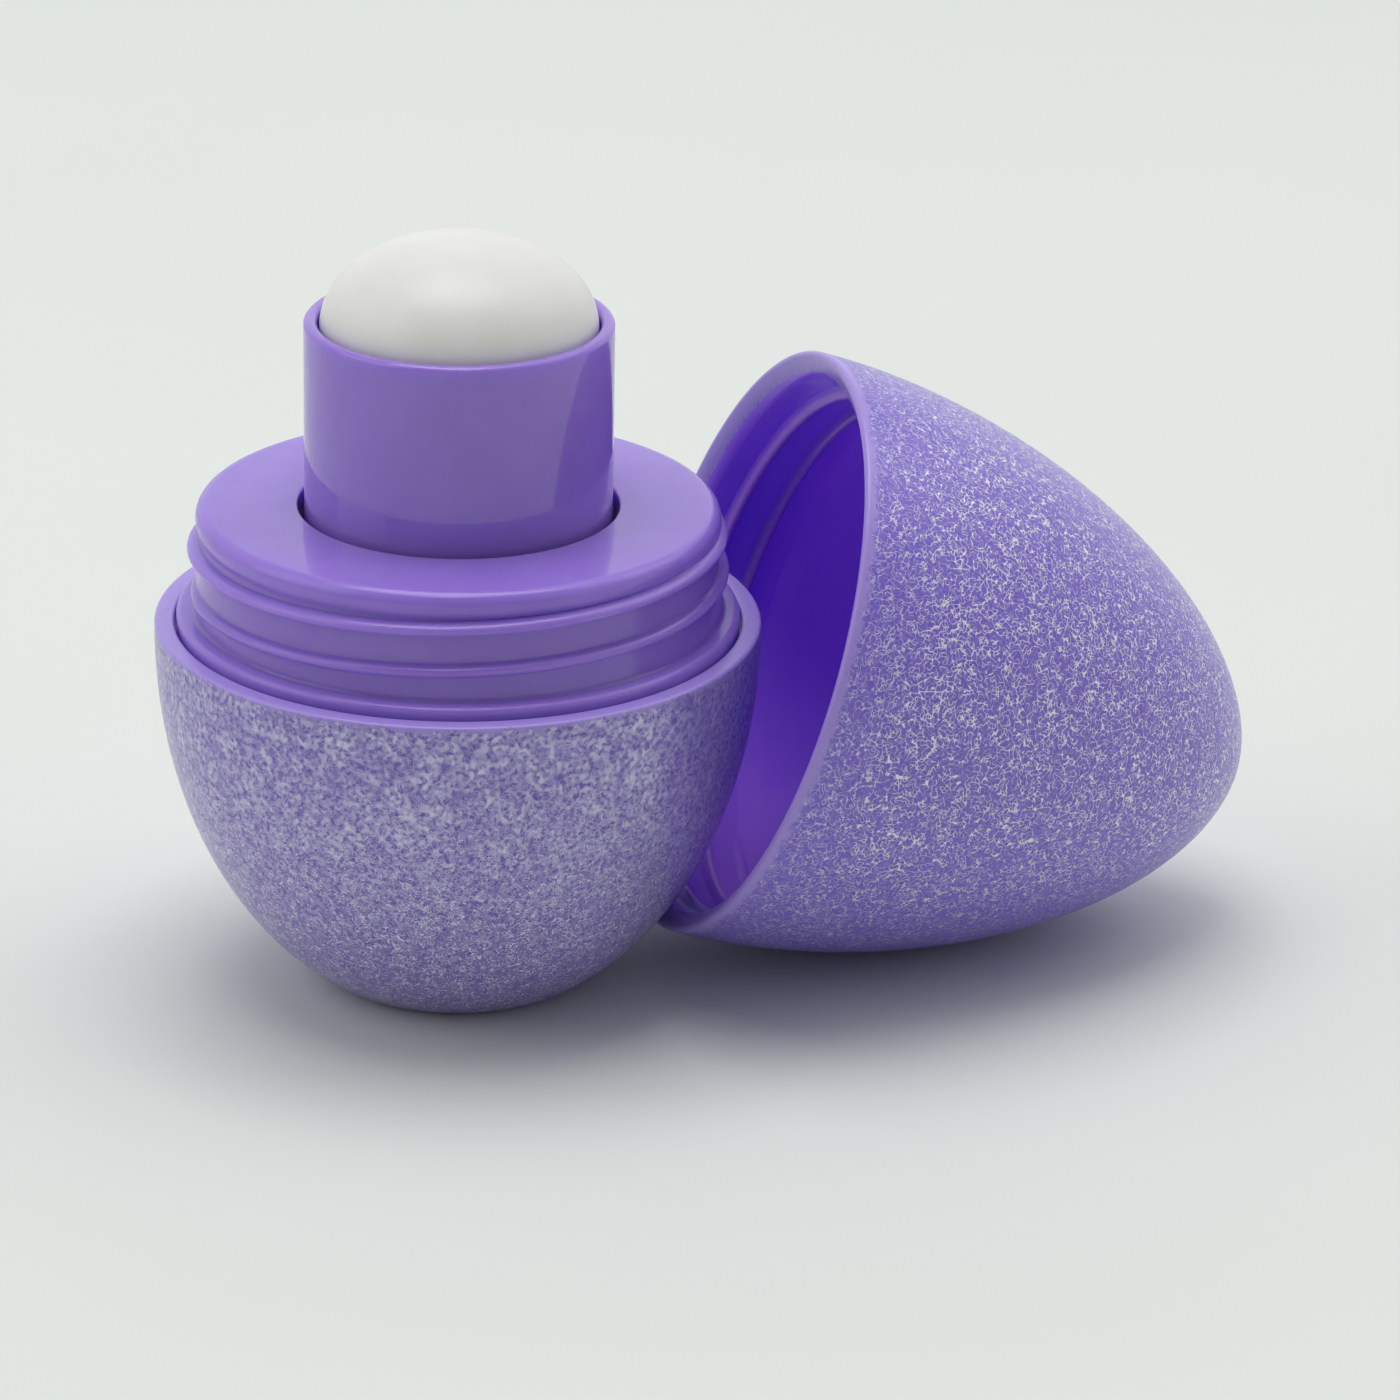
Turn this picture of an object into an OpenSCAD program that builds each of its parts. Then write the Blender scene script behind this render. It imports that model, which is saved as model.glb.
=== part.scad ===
// Egg-shaped twist-up stick: a cup that stands on its foot, a screw neck set into it, a tube that
// is turned in the neck to raise a domed balm, and the screw cap lying on its side beside the cup.
// Millimetres. +Z is up, the origin is the centre of the foot, and +X runs towards the cap's tip.

/* [Egg] */
// Greatest diameter of the egg, the same for the cup and the cap
egg_d = 50; // [46:0.5:56]
// Height of the cup's rim above the floor
cup_h = 31.5; // [30:0.1:36]
// How far the cup's widest ring lies below its rim
cup_belly_drop = 0.8; // [0.5:0.1:2]
// Diameter at which the cup's curve meets the floor
foot_d = 21; // [17:0.5:24]
// Height of the rounding round the foot
foot_round = 0.8; // [0.4:0.1:1.2]
// Width of that rounding
foot_round_w = 1.04; // [0.6:0.02:1.6]
// Fullness of the cup's curve, where 2 is an ellipse
cup_fullness = 2.06; // [2:0.02:2.2]
// Length of the cap from its rim to its tip
cap_l = 46.4; // [43:0.2:52]
// How far the cap's widest ring lies from its rim
cap_belly_drop = 1.9; // [0.8:0.1:3]
// Fullness of the cap's curve along its length
cap_fullness_l = 1.82; // [1.7:0.02:2]
// Fullness of the cap's curve across its width
cap_fullness_w = 1.74; // [1.7:0.02:2]
// Rounding of both edges of the cup's rim
cup_rim_round = 0.3; // [0.15:0.05:0.6]
// Rounding of the cap's rim
cap_rim_round = 0.4; // [0.2:0.05:0.5]

/* [Walls] */
// Wall of the cup below its mouth
cup_wall = 1.6; // [1.3:0.1:2]
// Wall of the cup's rim, beside the neck
cup_rim_wall = 1.65; // [1.3:0.05:1.9]
// Thickness of the cup's floor
floor_t = 2; // [1.4:0.1:2.6]
// Wall of the cap's dome
cap_wall = 1.6; // [1.2:0.1:2]
// Wall of the cap at the foot of its thread
cap_thread_wall = 2.1; // [1.9:0.1:2.4]
// How far the cap's mouth opens out past its threaded bore
cap_lead_in = 0.4; // [0.2:0.1:0.8]
// How far the inner edge of the cap's rim is bevelled back
cap_bevel = 0.8; // [0.5:0.1:1]
// Distance from the cap's rim at which its mouth has narrowed to its threaded bore
cap_lead_l = 1.6; // [1.4:0.1:2.2]
// Length of the cap's threaded bore, from its rim
cap_bore_l = 12; // [11.4:0.1:13]

/* [Screw neck] */
// Height of the neck's flat top above the cup's rim
neck_h = 9.9; // [9:0.1:12]
// Thickness of the neck's flat top
disc_t = 1.5; // [1:0.1:2]
// Wall of the neck and of its skirt inside the cup
neck_wall = 1.3; // [1:0.1:1.6]
// Groove between the neck's flange and the cup's rim
flange_gap = 0.15; // [0.1:0.05:0.4]
// How far the flange stands above the cup's rim
flange_rise = 0.9; // [0.5:0.1:1.2]
// Width of the flange's top, outside the foot of the neck
flange_w = 1.5; // [1.2:0.1:2]
// Rounding of the flange's upper edge
flange_round = 0.5; // [0.2:0.1:0.7]
// Size of the hollow rounding where the neck's wall meets the flange
neck_fillet = 0.4; // [0.2:0.1:0.6]
// How far the neck narrows from its foot to the foot of its lip
neck_draft = 0.5; // [0.2:0.1:0.8]
// Height of the lip that swells out at the neck's top
lip_h = 2.2; // [1.4:0.1:2.6]
// How far the lip stands out
lip_out = 0.35; // [0.2:0.05:0.6]
// Radius of the lip's rounded edge
lip_round = 0.7; // [0.3:0.1:0.9]
// Rounding of the edge of the tube's hole
hole_round = 0.25; // [0.1:0.05:0.4]
// Depth of the ledge in the cup's mouth that carries the flange
ledge_depth = 1.6; // [1.2:0.1:2.4]
// Width of that ledge
ledge_w = 1; // [0.8:0.1:1.3]
// Length of the skirt below the ledge
skirt_l = 6; // [5:0.1:7]
// Clearance of the skirt in the cup
skirt_gap = 0.1; // [0.05:0.05:0.2]
// Depth below the ledge at which the neck's wall steps out to its skirt
skirt_step = 0.5; // [0.3:0.1:1]
// Height of the bead that snaps the skirt into the cup
snap_h = 0.4; // [0.3:0.05:0.5]
// Width of that bead at its foot
snap_w = 1.6; // [1.2:0.1:2]
// Width of that bead's crest
snap_crest = 0.2; // [0.1:0.1:0.4]
// Depth of the bead below the ledge
snap_drop = 2.2; // [1.8:0.1:3]
// Number of keys that hold the skirt in the cup, and of those that hold the sleeve
keys = 4; // [2:1:6]
// Width of a key
key_w = 2; // [1.5:0.1:3]
// Height of a key
key_h = 2.2; // [1.5:0.1:3]
// How far a key stands into the skirt
key_in = 0.8; // [0.5:0.1:1]
// Clearance of a key in its notch
key_gap = 0.15; // [0.1:0.05:0.3]

/* [Screw thread] */
// Pitch of the thread on the neck and in the cap
thread_pitch = 3.5; // [3:0.1:4]
// How far the neck's ridge stands out at mid height
thread_h = 0.8; // [0.5:0.05:0.9]
// Width of a ridge at its foot
thread_w = 1.2; // [1:0.1:1.8]
// How deep that foot is sunk into a wall, at least
thread_sink = 0.15; // [0.1:0.05:0.3]
// Clearance of the cap's ridge round the neck's wall at mid height
thread_gap = 0.35; // [0.3:0.05:0.5]
// Turns of ridge on the neck
neck_turns = 1.64; // [1.2:0.02:1.8]
// Height above the cup's rim at which the neck's ridge starts
neck_thread_z = 2.4; // [2:0.1:3]
// Angle about the axis at which the neck's ridge starts
neck_thread_a = 145; // [0:5:360]
// Turns of ridge in the cap
cap_turns = 2.2; // [1.6:0.1:2.3]
// Distance from the cap's rim at which its ridge starts
cap_thread_z = 2.6; // [2.6:0.1:3.2]
// Angle about the cap's axis at which its ridge starts, from its underside
cap_thread_a = 315; // [0:5:360]

/* [Turning tube] */
// Outer diameter of the tube
tube_d = 25.3; // [22:0.1:26]
// Wall of the tube
tube_wall = 1.13; // [1:0.01:1.4]
// Rounding of the tube's rim
tube_rim_round = 0.47; // [0.3:0.01:0.5]
// Height of the tube's rim above the neck's flat top
tube_rise = 15.8; // [12:0.1:18]
// Gap round the tube in the neck's hole
tube_hole_gap = 0.53; // [0.3:0.01:0.8]
// How far the tube's foot flange stands out
tube_foot_w = 1.2; // [0.8:0.1:1.4]
// Thickness of the tube's foot flange
tube_foot_t = 1.4; // [1:0.1:1.8]
// Height of the tube's foot above the floor
tube_foot_z = 5.2; // [5:0.1:6]
// Play of the tube's foot flange under the sleeve
tube_foot_play = 0.2; // [0.1:0.05:0.3]
// Play of the tube's foot over the cup
thrust_gap = 0.15; // [0.1:0.05:0.3]
// Clearance round the tube's foot flange
seat_gap = 0.3; // [0.2:0.1:0.5]
// Diameter of the rubber ring's section
ring_d = 1.1; // [0.9:0.05:1.3]
// Depth of the rubber ring's seat in the tube
ring_seat = 0.45; // [0.3:0.05:0.6]
// How far the ring's middle lies below the neck's top plate
ring_drop = 1.6; // [1.2:0.1:2]
// Clearance of the ring in its seat and in the sleeve
ring_gap = 0.05; // [0.02:0.01:0.1]
// Length of the cone that leads the ring into the sleeve
ring_lead = 0.5; // [0.3:0.1:0.8]

/* [Lift] */
// Rise of the spiral for one turn of the tube
lift_lead = 20; // [18:0.5:24]
// How far the balm goes down from where it stands
lift_down = 8; // [6:0.5:9]
// How far the carrier's rim stands below the tube's rim, which is how far the balm goes up
lift_up = 12.5; // [10:0.5:13]
// Running clearance between turning and sliding pieces
run_gap = 0.08; // [0.04:0.01:0.1]
// Diameter of the carrier's two lugs
lug_d = 3; // [2.4:0.1:3.2]
// Clearance round a lug in its slot and its spiral groove
lug_gap = 0.25; // [0.15:0.05:0.35]
// How far a lug reaches past the tube into the spiral sleeve
lug_out = 1.1; // [0.8:0.1:1.2]
// Wall of the sleeve behind its grooves
sleeve_back = 1.1; // [0.9:0.1:1.4]
// Clearance of the sleeve in its socket in the cup and in its guide under the neck's top
socket_gap = 0.05; // [0.03:0.01:0.1]
// Wall of that socket and of that guide
socket_wall = 1.3; // [1:0.1:1.6]
// Length of the socket
socket_h = 7; // [5:0.5:9]
// Length of the guide
guide_h = 4.5; // [3:0.5:6]
// How far a key of the cup stands into the sleeve
sleeve_key_in = 0.6; // [0.4:0.1:0.8]
// Number of ribs between the socket and the cup
ribs = 6; // [4:1:8]
// Thickness of a rib
rib_t = 1; // [0.8:0.1:1.4]
// How far a rib's top lies below the socket's top
rib_drop = 1; // [0.5:0.1:2]
// Wall of the carrier
carrier_wall = 0.86; // [0.7:0.02:1.1]
// Thickness of the carrier's floor under the balm
carrier_floor = 1.2; // [0.8:0.1:1.8]
// Depth of the carrier's cup that grips the balm
carrier_grip = 4.6; // [3:0.1:6]
// Height of the axis of the lugs above the tube's foot
lug_rise = 14.8; // [13.8:0.1:16]
// How far the carrier's wall reaches below its lugs
carrier_skirt = 1; // [0.6:0.1:1.4]

/* [Balm] */
// Gap between the balm and the tube
balm_gap = 0.18; // [0.12:0.01:0.25]
// Height of the balm's dome
dome_h = 7.4; // [4:0.1:10]
// How far the foot of the dome lies below the tube's rim
dome_sink = 0.6; // [0:0.1:2]
// Fullness of the dome, where 2 is an ellipse
dome_fullness = 2.15; // [2:0.05:2.6]
// Fullness of the dome along its height
dome_fullness_l = 2; // [1.8:0.05:2.2]

/* [Lying cap] */
// How far the cap's axis dips towards its tip
cap_tilt = 18.9; // [17:0.1:21]
// Gap between the cap's rim and the cup
cap_gap = 0.3; // [0.3:0.1:0.9]

/* [Hidden] */
$fn = 96;
shell_colour = "#9a8ccb";
plastic_colour = "#7d5fc0";
inner_colour = "#b9b2cf";
rubber_colour = "#4a4458";
balm_colour = "#ecebe4";
curve_steps = 36;
round_steps = 5;
thread_steps = 36;
spiral_steps = 48;
ridge_steps = 8;
// How far a cut reaches past the face that it opens, and how far a rooted piece is sunk
over = 1;
root = 0.4;

egg_r = egg_d / 2;
belly_z = cup_h - cup_belly_drop;
foot_r = foot_d / 2;
cup_depth = belly_z / pow(1 - pow(foot_r / egg_r, cup_fullness), 1 / cup_fullness);
mouth_r = egg_r - cup_rim_wall;
ledge_z = cup_h - ledge_depth;
bore_r = mouth_r - ledge_w;

neck_top_z = cup_h + neck_h;
disc_z = neck_top_z - disc_t;
flange_r = mouth_r - flange_gap;
flange_z = cup_h + flange_rise;
neck_foot_r = flange_r - flange_w;
notch_r = neck_foot_r - neck_draft;
notch_z = neck_top_z - lip_h;
lip_r = notch_r + lip_out;
neck_in_r = notch_r - neck_wall;
skirt_r = bore_r - skirt_gap;
skirt_in_r = skirt_r - neck_wall;
skirt_z = ledge_z - skirt_l;
skirt_step_z = ledge_z - skirt_step;
snap_z = ledge_z - snap_drop;

thread_root = (neck_foot_r + notch_r) / 2;
thread_depth = neck_draft / 2 + thread_sink;
thread_fade = 4;
cap_bore_r = egg_r - cap_thread_wall;
cap_mouth_r = cap_bore_r + cap_lead_in;
cap_ridge_r = thread_root + thread_gap;
cap_in_r = egg_r - cap_wall;
cap_in_l = cap_l - cap_belly_drop - cap_wall;

tube_r = tube_d / 2;
tube_in_r = tube_r - tube_wall;
tube_top_z = neck_top_z + tube_rise;
tube_foot_r = tube_r + tube_foot_w;
hole_r = tube_r + tube_hole_gap;

sleeve_in_r = tube_r + run_gap;
groove_r = tube_r + lug_out + lug_gap;
sleeve_r = groove_r + sleeve_back;
sleeve_z = tube_foot_z + tube_foot_t + tube_foot_play;
sleeve_top_z = disc_z;
ring_r = tube_r - ring_seat + ring_d / 2;
ring_bore_r = ring_r + ring_d / 2 + ring_gap;
ring_z = disc_z - ring_drop;
ring_bore_z = ring_z - ring_d;
socket_r = sleeve_r + socket_gap;
socket_out_r = socket_r + socket_wall;
socket_top_z = sleeve_z + socket_h;
seat_r = tube_foot_r + seat_gap;
thrust_z = tube_foot_z - thrust_gap;
thrust_in_r = tube_in_r;

lug_z = tube_foot_z + lug_rise;
lug_r = lug_d / 2;
lug_tip_r = tube_r + lug_out;
slot_r = lug_r + lug_gap;
slot_low_z = lug_z - lift_down;
slot_high_z = lug_z + lift_up;
groove_half = lug_r * sqrt(1 + pow(lift_lead / (2 * PI * sleeve_in_r), 2)) + lug_gap;
groove_end = asin(slot_r / sleeve_in_r) + 1;
groove_low_z = slot_low_z - lift_lead * groove_end / 360;
groove_low_a = -360 * lift_down / lift_lead - groove_end;
groove_turns = (lift_down + lift_up) / lift_lead + 2 * groove_end / 360;
carrier_r = tube_in_r - run_gap;
carrier_in_r = carrier_r - carrier_wall;
carrier_top_z = tube_top_z - lift_up;
carrier_floor_z = carrier_top_z - carrier_grip;
carrier_foot_z = lug_z - lug_r - carrier_skirt;
balm_r = tube_in_r - balm_gap;
dome_z = tube_top_z - dome_sink;

// Points of an arc about [x, y]
function arc(x, y, r, from, to, n = round_steps) =
    [for (i = [0:n]) let (a = from + (to - from) * i / n) [x + r * cos(a), y + r * sin(a)]];

// Points of a curve that leaves p for q and ends at s
function bend(p, q, s, n = round_steps) =
    [for (i = [0:n]) let (u = i / n) (1 - u) * (1 - u) * p + 2 * u * (1 - u) * q + u * u * s];

// Points of a quarter of a full ellipse: half widths r and l, its widest ring at height z
function quarter(r, l, z, full_r, full_l, from, to, n = curve_steps) =
    [for (i = [0:n]) let (a = from + (to - from) * i / n)
        [r * pow(cos(a), 2 / full_r), z + l * pow(sin(a), 2 / full_l)]];

// The angle at which such a quarter has a given share of its width or of its length
function angle_at_width(share, fullness) = acos(pow(share, fullness / 2));
function angle_at_length(share, fullness) = asin(pow(share, fullness / 2));

// Points of the cup's curve, drawn in by the thickness t, between two angles
function cup_curve(t, from, to) =
    quarter(egg_r - t, t - cup_depth, belly_z, cup_fullness, cup_fullness, from, to);
// The angle at which that curve has radius r or height z
function cup_angle_at_r(t, r) = angle_at_width(r / (egg_r - t), cup_fullness);
function cup_angle_at_z(t, z) = angle_at_length((belly_z - z) / (cup_depth - t), cup_fullness);
// Radius of the cup's outside at height z
function cup_r_at(z) = egg_r * pow(1 - pow((belly_z - z) / cup_depth, cup_fullness), 1 / cup_fullness);

// Outline of the cap's outside, from its widest ring to its tip, measured from its rim
cap_curve = quarter(egg_r, cap_l - cap_belly_drop, cap_belly_drop, cap_fullness_w, cap_fullness_l, 0, 90);
// Outline of the cap's rim, from its inner edge to its outer edge. The bevel runs into the rounding.
cap_bevel_run = [cap_mouth_r - egg_r + cap_rim_round, cap_bevel - cap_rim_round];
cap_bevel_end = atan2(cap_bevel_run[1], cap_bevel_run[0]) + acos(cap_rim_round / norm(cap_bevel_run));
cap_rim = concat([[cap_mouth_r, cap_bevel]],
    arc(egg_r - cap_rim_round, cap_rim_round, cap_rim_round, cap_bevel_end, 360));
// The rim's centre stands so high that the cap's belly meets the floor, and so far out that the
// rim's lowest stretch clears the cup
cap_z = max([for (p = cap_curve) p[1] * sin(cap_tilt) + p[0] * cos(cap_tilt)]);
cap_x = cap_gap + max([for (p = cap_rim)
    let (low_z = cap_z - p[0] * cos(cap_tilt) - p[1] * sin(cap_tilt))
    cup_r_at(low_z) + p[0] * sin(cap_tilt) - p[1] * cos(cap_tilt)]);

// A closed solid through rings of points that follow one another
module skin(rings) {
    n = len(rings[0]);
    last = len(rings) - 1;
    sides = [for (i = [0:last - 1], j = [0:n - 1]) let (a = i * n + j, b = i * n + (j + 1) % n)
        each [[a, b, a + n], [b, b + n, a + n]]];
    caps = [[for (j = [n - 1:-1:0]) j], [for (j = [0:n - 1]) last * n + j]];
    polyhedron([for (ring = rings) each ring], concat(sides, caps), convexity = 6);
}

// Section of a ridge, half an ellipse that rises from a foot sunk into a wall of radius r and
// reaches radius tip, where full is its share of that height
function ridge(r, tip, w, full) =
    let (out = sign(tip - r))
    let (foot = r - out * thread_depth)
    [for (i = [0:ridge_steps]) let (a = 180 * i / ridge_steps - 90)
        [foot + (tip - foot) * full * cos(a), out * w / 2 * sin(a)]];

// A ridge wound up a helix from height 0, fading in and out at its ends
module thread_ridge(r, tip, w, turns) {
    n = ceil(thread_steps * turns);
    skin([for (i = [0:n])
        let (a = 360 * turns * i / n)
        let (full = 0.25 + 0.75 * min(1, min(i, n - i) / thread_fade))
        [for (p = ridge(r, tip, w, full))
            [p[0] * cos(a), p[0] * sin(a), p[1] + thread_pitch * a / 360]]]);
}

// The space that a lug sweeps out of the sleeve's wall
module spiral_groove() {
    n = ceil(spiral_steps * groove_turns);
    inner = sleeve_in_r - root;
    section = [[inner, -groove_half], [groove_r, -groove_half],
        [groove_r, groove_half], [inner, groove_half]];
    rotate([0, 0, groove_low_a])
        translate([0, 0, groove_low_z])
            skin([for (i = [0:n])
                let (a = 360 * groove_turns * i / n)
                [for (p = section) [p[0] * cos(a), p[0] * sin(a), p[1] + lift_lead * a / 360]]]);
}

// Gusset between the cup's socket and its wall
module socket_rib() {
    in_wall = cup_wall / 2;
    from_r = socket_out_r - root;
    top_z = socket_top_z - rib_drop;
    rotate([90, 0, 0])
        linear_extrude(rib_t, center = true)
            polygon(concat([[from_r, top_z]],
                cup_curve(in_wall, cup_angle_at_z(in_wall, top_z), cup_angle_at_r(in_wall, from_r))));
}

// Lower half of the egg, with its mouth, its ledge and the socket for the spiral sleeve
module base_cup() {
    foot_start = cup_angle_at_z(0, foot_round);
    rim_z = cup_h - cup_rim_round;
    snap_r = bore_r + snap_h;
    color(shell_colour) {
        rotate_extrude()
            polygon(concat(
                [[0, 0]],
                bend([foot_r - foot_round_w, 0], [foot_r, 0], cup_curve(0, foot_start, foot_start)[0]),
                cup_curve(0, foot_start, 0),
                arc(egg_r - cup_rim_round, rim_z, cup_rim_round, 0, 90),
                arc(mouth_r + cup_rim_round, rim_z, cup_rim_round, 90, 180),
                [[mouth_r, ledge_z], [bore_r, ledge_z],
                    [bore_r, snap_z + snap_w / 2 + skirt_gap], [snap_r, snap_z + snap_crest / 2 + skirt_gap],
                    [snap_r, snap_z - snap_crest / 2 - skirt_gap], [bore_r, snap_z - snap_w / 2 - skirt_gap]],
                cup_curve(cup_wall, cup_angle_at_r(cup_wall, bore_r), cup_angle_at_r(cup_wall, socket_out_r)),
                [[socket_out_r, socket_top_z], [socket_r, socket_top_z], [socket_r, sleeve_z],
                    [seat_r, sleeve_z], [seat_r, thrust_z], [thrust_in_r, thrust_z]],
                cup_curve(cup_wall, cup_angle_at_r(cup_wall, thrust_in_r), cup_angle_at_z(cup_wall, floor_t)),
                [[0, floor_t]]));
        for (i = [1:ribs])
            rotate([0, 0, 360 * i / ribs])
                socket_rib();
        for (i = [1:keys])
            rotate([0, 0, 360 * i / keys]) {
                translate([bore_r - key_in, -key_w / 2, skirt_z - over])
                    cube([key_in + root, key_w, key_h - key_gap + over]);
                translate([sleeve_r - sleeve_key_in, -key_w / 2, sleeve_z - root])
                    cube([sleeve_key_in + root, key_w, key_h - key_gap + root]);
            }
    }
}

// Threaded neck that snaps into the cup, closed by a flat top with the tube's hole
module screw_neck() {
    lip_z = neck_top_z - lip_round;
    top_z = neck_top_z - hole_round;
    skirt_snap_r = skirt_r + snap_h;
    color(plastic_colour)
        difference() {
            union() {
                rotate_extrude()
                    polygon(concat(
                        [[skirt_in_r, skirt_z], [skirt_r, skirt_z],
                            [skirt_r, snap_z - snap_w / 2], [skirt_snap_r, snap_z - snap_crest / 2],
                            [skirt_snap_r, snap_z + snap_crest / 2], [skirt_r, snap_z + snap_w / 2],
                            [skirt_r, ledge_z], [flange_r, ledge_z]],
                        arc(flange_r - flange_round, flange_z - flange_round, flange_round, 0, 90),
                        bend([neck_foot_r + neck_fillet, flange_z], [neck_foot_r, flange_z],
                            [neck_foot_r, flange_z + neck_fillet]),
                        bend([notch_r, notch_z], [lip_r, (notch_z + lip_z) / 2], [lip_r, lip_z]),
                        arc(lip_r - lip_round, lip_z, lip_round, 0, 90),
                        arc(hole_r + hole_round, top_z, hole_round, 90, 180),
                        [[hole_r, disc_z], [socket_r, disc_z], [socket_r, disc_z - guide_h],
                            [socket_out_r, disc_z - guide_h], [socket_out_r, disc_z], [neck_in_r, disc_z],
                            [neck_in_r, skirt_step_z], [skirt_in_r, skirt_step_z - neck_wall]]));
                translate([0, 0, cup_h + neck_thread_z])
                    rotate([0, 0, neck_thread_a])
                        thread_ridge(thread_root, thread_root + thread_h, thread_w, neck_turns);
            }
            for (i = [1:keys])
                rotate([0, 0, 360 * i / keys])
                    translate([skirt_in_r - over, -key_w / 2 - key_gap, skirt_z - over])
                        cube([neck_wall + 2 * over, key_w + 2 * key_gap, key_h + over]);
        }
}

// Sleeve held in the cup, whose two spiral grooves drive the carrier's lugs
module spiral_sleeve() {
    color(inner_colour)
        difference() {
            rotate_extrude()
                polygon([[sleeve_in_r, sleeve_z], [sleeve_r, sleeve_z], [sleeve_r, sleeve_top_z],
                    [ring_bore_r, sleeve_top_z], [ring_bore_r, ring_bore_z],
                    [sleeve_in_r, ring_bore_z - ring_lead]]);
            for (a = [0, 180])
                rotate([0, 0, a])
                    spiral_groove();
            for (i = [1:keys])
                rotate([0, 0, 360 * i / keys])
                    translate([sleeve_r - sleeve_key_in - key_gap, -key_w / 2 - key_gap, sleeve_z - over])
                        cube([sleeve_key_in + over, key_w + 2 * key_gap, key_h + over]);
        }
}

// Tube that is turned by hand, with two upright slots for the lugs and a seat for the rubber ring
module turning_tube() {
    rim_z = tube_top_z - tube_rim_round;
    ring_half = ring_d / 2 + ring_gap;
    seat_in_r = tube_r - ring_seat;
    color(plastic_colour)
        difference() {
            rotate_extrude()
                polygon(concat(
                    [[tube_in_r, tube_foot_z], [tube_foot_r, tube_foot_z],
                        [tube_foot_r, tube_foot_z + tube_foot_t], [tube_r, tube_foot_z + tube_foot_t],
                        [tube_r, ring_z - ring_half], [seat_in_r, ring_z - ring_half],
                        [seat_in_r, ring_z + ring_half], [tube_r, ring_z + ring_half]],
                    arc(tube_r - tube_rim_round, rim_z, tube_rim_round, 0, 90),
                    arc(tube_in_r + tube_rim_round, rim_z, tube_rim_round, 90, 180)));
            for (z = [slot_low_z, slot_high_z])
                translate([0, 0, z])
                    rotate([0, 90, 0])
                        cylinder(r = slot_r, h = 2 * tube_foot_r, center = true);
            translate([-tube_foot_r, -slot_r, slot_low_z])
                cube([2 * tube_foot_r, 2 * slot_r, slot_high_z - slot_low_z]);
        }
}

// Rubber ring that makes the tube turn firmly
module rubber_ring() {
    color(rubber_colour)
        translate([0, 0, ring_z])
            rotate_extrude()
                translate([ring_r, 0])
                    circle(d = ring_d);
}

// Carrier that grips the balm's foot and rides up the spiral on two lugs
module carrier() {
    color(inner_colour) {
        rotate_extrude()
            polygon([[0, carrier_floor_z - carrier_floor], [carrier_in_r, carrier_floor_z - carrier_floor],
                [carrier_in_r, carrier_foot_z], [carrier_r, carrier_foot_z], [carrier_r, carrier_top_z],
                [carrier_in_r, carrier_top_z], [carrier_in_r, carrier_floor_z], [0, carrier_floor_z]]);
        for (a = [0, 180])
            rotate([0, 0, a])
                translate([carrier_r - root, 0, lug_z])
                    rotate([0, 90, 0])
                        cylinder(r = lug_r, h = lug_tip_r - carrier_r + root);
    }
}

// Solid balm, cast into the carrier and domed where it stands out of the tube
module balm() {
    color(balm_colour)
        rotate_extrude()
            polygon(concat(
                [[0, carrier_floor_z], [carrier_in_r, carrier_floor_z], [carrier_in_r, carrier_top_z],
                    [balm_r, carrier_top_z]],
                quarter(balm_r, dome_h, dome_z, dome_fullness, dome_fullness_l, 0, 90)));
}

// Upper half of the egg in its own frame: rim at height 0, tip up, threaded inside
module upright_cap() {
    rotate_extrude()
        polygon(concat(
            cap_rim,
            cap_curve,
            quarter(cap_in_r, cap_in_l, cap_belly_drop, cap_fullness_w, cap_fullness_l, 90,
                angle_at_length((cap_bore_l - cap_belly_drop) / cap_in_l, cap_fullness_l)),
            [[cap_bore_r, cap_bore_l], [cap_bore_r, cap_lead_l]]));
    translate([0, 0, cap_thread_z])
        rotate([0, 0, cap_thread_a])
            thread_ridge(cap_bore_r, cap_ridge_r, thread_w, cap_turns);
}

// The cap as it lies on its belly, mouth towards the cup
module cap() {
    color(shell_colour)
        translate([cap_x, 0, cap_z])
            rotate([0, 90 + cap_tilt, 0])
                upright_cap();
}

base_cup();
screw_neck();
spiral_sleeve();
turning_tube();
rubber_ring();
carrier();
balm();
cap();
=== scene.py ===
"""Looks of the egg-shaped twist-up stick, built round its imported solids.

The cup, the screw neck, the tube, the balm and the lying cap are smooth shells of the same sizes as
their solids, but for a slightly softer lip on the neck. The pieces inside keep their solids and get
their own finish.
Outlines are in millimetres, in the part's own frame: the origin is the centre of the foot, +Z is up.
"""

import math

import bmesh
import bpy
import numpy as np
from mathutils import Matrix, Vector


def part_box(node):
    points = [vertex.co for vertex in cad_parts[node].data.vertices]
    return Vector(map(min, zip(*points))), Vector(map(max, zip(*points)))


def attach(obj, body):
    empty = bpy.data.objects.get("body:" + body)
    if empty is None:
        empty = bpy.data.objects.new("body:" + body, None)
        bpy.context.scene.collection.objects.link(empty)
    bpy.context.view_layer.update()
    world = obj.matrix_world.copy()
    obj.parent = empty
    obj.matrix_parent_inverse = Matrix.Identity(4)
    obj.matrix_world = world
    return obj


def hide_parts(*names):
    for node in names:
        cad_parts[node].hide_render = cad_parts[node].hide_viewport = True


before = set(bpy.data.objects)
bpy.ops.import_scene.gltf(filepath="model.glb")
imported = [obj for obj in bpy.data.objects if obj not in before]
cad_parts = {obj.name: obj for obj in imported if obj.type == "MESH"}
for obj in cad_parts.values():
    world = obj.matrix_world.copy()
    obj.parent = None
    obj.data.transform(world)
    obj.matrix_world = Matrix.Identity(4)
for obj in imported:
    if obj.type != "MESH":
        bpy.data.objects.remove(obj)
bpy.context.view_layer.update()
MM = 0.001


def node_box(node):
    """Lowest and highest corner of a CAD node, in millimetres."""
    return tuple(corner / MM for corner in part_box(node))


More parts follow.
